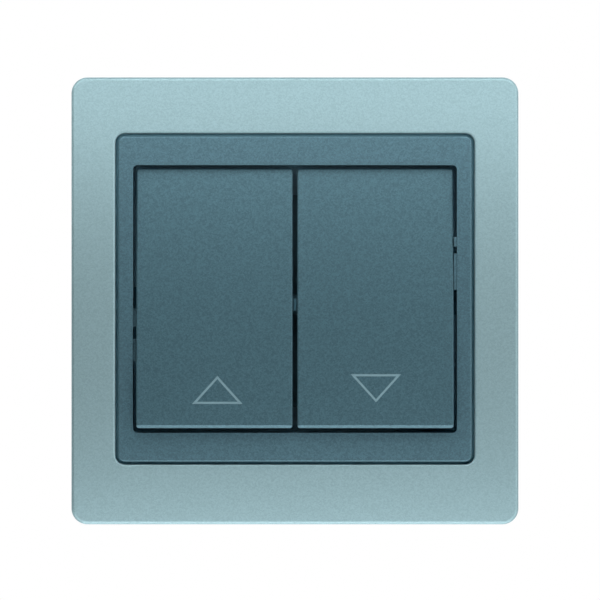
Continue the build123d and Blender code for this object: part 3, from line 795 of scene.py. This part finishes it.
def cut(piece, tool, operation):
    """Apply a boolean with a tool, and throw the tool away."""
    apply_modifier(piece, "BOOLEAN", operation=operation, solver="EXACT", object=tool)
    mesh = tool.data
    bpy.data.objects.remove(tool)
    bpy.data.meshes.remove(mesh)


def threaded(name, radius, length, settings):
    """Headless screw on the Z axis: a screwed profile, chamfered ends and a slot in the upper end."""
    pitch = settings.pitch
    depth = settings.depth
    bpy.ops.object.select_all(action="DESELECT")
    bpy.ops.mesh.primitive_plane_add(size=pitch, location=(radius - depth, 0.0, -pitch))
    piece = named(name)
    edit(piece)
    bpy.ops.mesh.select_all(action="SELECT")
    bpy.ops.mesh.merge(type="CENTER")
    for across, along in ((depth, FLANK), (0.0, CREST), (-depth, FLANK), (0.0, ROOT)):
        bpy.ops.mesh.extrude_region_move(TRANSFORM_OT_translate={"value": (across, 0.0, along * pitch)})
    leave_edit()
    bake_place(piece)
    apply_modifier(
        piece, "SCREW", axis="Z", angle=2 * math.pi, screw_offset=pitch,
        iterations=math.ceil(length / pitch) + 2, steps=THREAD_STEPS, render_steps=THREAD_STEPS,
        use_merge_vertices=False,
    )
    edit(piece)
    bpy.ops.mesh.select_all(action="SELECT")
    bpy.ops.mesh.remove_doubles(threshold=MERGE)
    up = (0.0, 0.0, 1.0)
    bpy.ops.mesh.bisect(
        plane_co=(0.0, 0.0, 0.0), plane_no=up, use_fill=True, clear_inner=True, threshold=CUT_SLACK
    )
    bpy.ops.mesh.select_all(action="SELECT")
    bpy.ops.mesh.bisect(
        plane_co=(0.0, 0.0, length), plane_no=up, use_fill=True, clear_outer=True, threshold=CUT_SLACK
    )
    bpy.ops.mesh.select_all(action="SELECT")
    bpy.ops.mesh.normals_make_consistent(inside=False)
    leave_edit()
    blank = bar(name + "_blank", radius, length)
    edit(blank, "EDGE")
    select_rims(blank)
    bpy.ops.mesh.bevel(offset=settings.chamfer, segments=1)
    leave_edit()
    cut(piece, blank, "INTERSECT")
    slot = settings.slot
    bpy.ops.object.select_all(action="DESELECT")
    bpy.ops.mesh.primitive_cube_add(
        size=1.0, location=(0.0, 0.0, length), scale=(4 * radius, slot, 2 * slot)
    )
    tool = named(name + "_slot")
    bake_place(tool)
    cut(piece, tool, "DIFFERENCE")
    if not piece.data.polygons:
        raise RuntimeError("The clamp screw lost its faces")
    pick(piece)
    bpy.ops.object.shade_smooth_by_angle(angle=THREAD_ANGLE)
    return piece


class SWITCH_OT_screws(bpy.types.Operator):
    """Headless clamp screws with a thread and a slot, modelled once and copied to each terminal"""

    bl_idname = "switch.screws"
    bl_label = "Clamp screws"

    def execute(self, context):
        settings = context.scene.switch_screws
        steel = bpy.data.materials["Plated steel"]
        low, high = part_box("terminal_screw_common")
        radius = (high.x - low.x) / 2
        model = threaded("clamp_screw", radius, high.z - low.z, settings)
        model.data.materials.append(steel)
        for terminal in ("common", "up", "down"):
            node = "terminal_screw_" + terminal
            low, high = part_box(node)
            pick(model)
            bpy.ops.object.duplicate()
            piece = bpy.context.active_object
            piece.name = "clamp_screw_" + terminal
            piece.data.name = piece.name
            middle = (low + high) / 2
            if middle.z > 0:
                piece.location = (middle.x, middle.y, low.z)
            else:
                piece.location = (middle.x, middle.y, high.z)
                piece.rotation_euler = (math.pi, 0.0, 0.0)
            bake_place(piece)
            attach(piece, body_of_node[node])
            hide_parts(node)
        bpy.data.objects.remove(model)
        return {"FINISHED"}


class SWITCH_OT_stage(bpy.types.Operator):
    """Pale floor, soft lamps, white surroundings and the camera"""

    bl_idname = "switch.stage"
    bl_label = "Stage"

    def execute(self, context):
        settings = context.scene.switch_stage
        bpy.ops.object.select_all(action="DESELECT")
        bpy.ops.mesh.primitive_plane_add(size=1.2, location=(0.0, 0.0, settings.floor))
        floor = named("floor")
        floor.data.materials.append(backdrop("Pale floor"))
        bright_world(settings.wrap)
        lamp("top_strip", place=(0.0, -0.05, 0.09), size=(0.4, 0.04), power=0.145)
        lamp("high_strip", place=(0.0, -0.10, 0.12), size=(0.4, 0.03), power=0.169)
        lamp("frame_strip", place=(0.0, -0.045, 0.04), size=(0.4, 0.02), power=0.0265, aim=(0.0, 0.0, 0.035))
        lamp("field_strip", place=(0.0, -0.05, 0.022), size=(0.4, 0.02), power=0.0073, aim=(0.0, 0.0, 0.022))
        lamp("low_strip", place=(0.0, -0.06, -0.06), size=(0.15, 0.03), power=0.0142, aim=(0.0, 0.0, -0.045))
        lamp(
            "low_edge_strip", place=(0.0, -0.035, -0.065), size=(0.2, 0.02), power=0.026, aim=(0.0, 0.0, -0.05)
        )
        lamp(
            "under_strip", place=(0.0, -0.016, -0.085), size=(0.12, 0.008), power=0.0152,
            aim=(0.0, -0.0115, -0.0236),
        )
        lamp("right_lamp", place=(0.30, -0.2, 0.0), size=(0.2, 0.2), power=0.3845)
        camera = bpy.data.objects.new("camera", bpy.data.cameras.new("camera"))
        context.scene.collection.objects.link(camera)
        camera.location = (settings.aside, -settings.distance, settings.above)
        camera.rotation_euler = (math.pi / 2, 0.0, 0.0)
        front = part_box("cover_frame")[0].y
        camera.data.lens = camera.data.sensor_width * (settings.distance + front) / settings.view
        context.scene.camera = camera
        context.scene.view_settings.view_transform = "Standard"
        return {"FINISHED"}


def lamp(name, place, size, power, aim=(0.0, 0.0, 0.0)):
    """Soft rectangular lamp that faces a point of the switch and doesn't show by itself."""
    light = bpy.data.lights.new(name, "AREA")
    light.shape = "RECTANGLE"
    light.size, light.size_y = size
    light.energy = power
    piece = bpy.data.objects.new(name, light)
    bpy.context.scene.collection.objects.link(piece)
    piece.location = place
    piece.rotation_euler = (Vector(aim) - Vector(place)).to_track_quat("-Z", "Y").to_euler()
    piece.visible_camera = False


def mirrored(tree, rays):
    """One for rays that metal reflects or glass lets through."""
    return math_node(tree, "MAXIMUM", rays.outputs["Is Glossy Ray"], rays.outputs["Is Transmission Ray"])


def backdrop(name):
    """Pale surface that keeps the shadow, lifted for the camera, metal and glass, and open from below."""
    lift = 0.4
    grain = 0.01
    pale = (0.85, 0.85, 0.85)
    material, _ = patterned(name, "Moulded grain", {"Color": opaque(pale), "Grain": grain})
    tree = material.node_tree
    shader = tree.nodes["Principled BSDF"]
    rays = tree.nodes.new("ShaderNodeLightPath")
    seen = math_node(tree, "MAXIMUM", rays.outputs["Is Camera Ray"], mirrored(tree, rays))
    tree.links.new(math_node(tree, "MULTIPLY", seen, lift), shader.inputs["Emission Color"])
    shader.inputs["Emission Strength"].default_value = 1.0
    side = tree.nodes.new("ShaderNodeNewGeometry")
    tree.links.new(math_node(tree, "SUBTRACT", 1.0, side.outputs["Backfacing"]), shader.inputs["Alpha"])
    return material


def bright_world(wrap):
    """White for the camera, and a white wall behind the switch that lights its sides and back."""
    world = bpy.data.worlds.new("Studio")
    bpy.context.scene.world = world
    world.use_nodes = True
    tree = world.node_tree
    place = tree.nodes.new("ShaderNodeTexCoord")
    split = tree.nodes.new("ShaderNodeSeparateXYZ")
    tree.links.new(place.outputs["Generated"], split.inputs[0])
    wall_edge = -0.1
    wall_full = 0.6
    behind = tree.nodes.new("ShaderNodeMapRange")
    behind.interpolation_type = "SMOOTHSTEP"
    behind.inputs["From Min"].default_value = wall_edge
    behind.inputs["From Max"].default_value = wall_full
    tree.links.new(split.outputs["Y"], behind.inputs["Value"])
    rays = tree.nodes.new("ShaderNodeLightPath")
    level = math_node(tree, "MAXIMUM", mirrored(tree, rays), wrap)
    wall = math_node(tree, "MULTIPLY", behind.outputs["Result"], level)
    shown = math_node(tree, "MAXIMUM", rays.outputs["Is Camera Ray"], wall)
    back = tree.nodes["Background"]
    tree.links.new(shown, back.inputs["Color"])
    back.inputs["Strength"].default_value = 1.0


OPERATORS = (
    SWITCH_OT_cover,
    SWITCH_OT_keys,
    SWITCH_OT_signs,
    SWITCH_OT_insert,
    SWITCH_OT_metals,
    SWITCH_OT_springs,
    SWITCH_OT_screws,
    SWITCH_OT_stage,
)


class SWITCH_PT_panel(bpy.types.Panel):
    """Settings and steps of the shutter switch"""

    bl_idname = "SWITCH_PT_panel"
    bl_label = "Shutter switch"
    bl_space_type = "VIEW_3D"
    bl_region_type = "UI"
    bl_category = "Shutter Switch"

    def draw(self, context):
        for attribute, group in GROUPS.items():
            box = self.layout.box()
            for label in group.__annotations__:
                box.prop(getattr(context.scene, attribute), label)
        for operator in OPERATORS:
            self.layout.operator(operator.bl_idname)


def register():
    for attribute, group in GROUPS.items():
        bpy.utils.register_class(group)
        setattr(bpy.types.Scene, attribute, PointerProperty(type=group))
    for operator in OPERATORS:
        bpy.utils.register_class(operator)
    bpy.utils.register_class(SWITCH_PT_panel)


def unregister():
    bpy.utils.unregister_class(SWITCH_PT_panel)
    for operator in reversed(OPERATORS):
        bpy.utils.unregister_class(operator)
    for attribute, group in reversed(GROUPS.items()):
        delattr(bpy.types.Scene, attribute)
        bpy.utils.unregister_class(group)


def main():
    register()
    bpy.ops.switch.cover()
    bpy.ops.switch.keys()
    bpy.ops.switch.signs()
    bpy.ops.switch.insert()
    bpy.ops.switch.metals()
    bpy.ops.switch.springs()
    bpy.ops.switch.screws()
    bpy.ops.switch.stage()


if __name__ == "__main__":
    main()
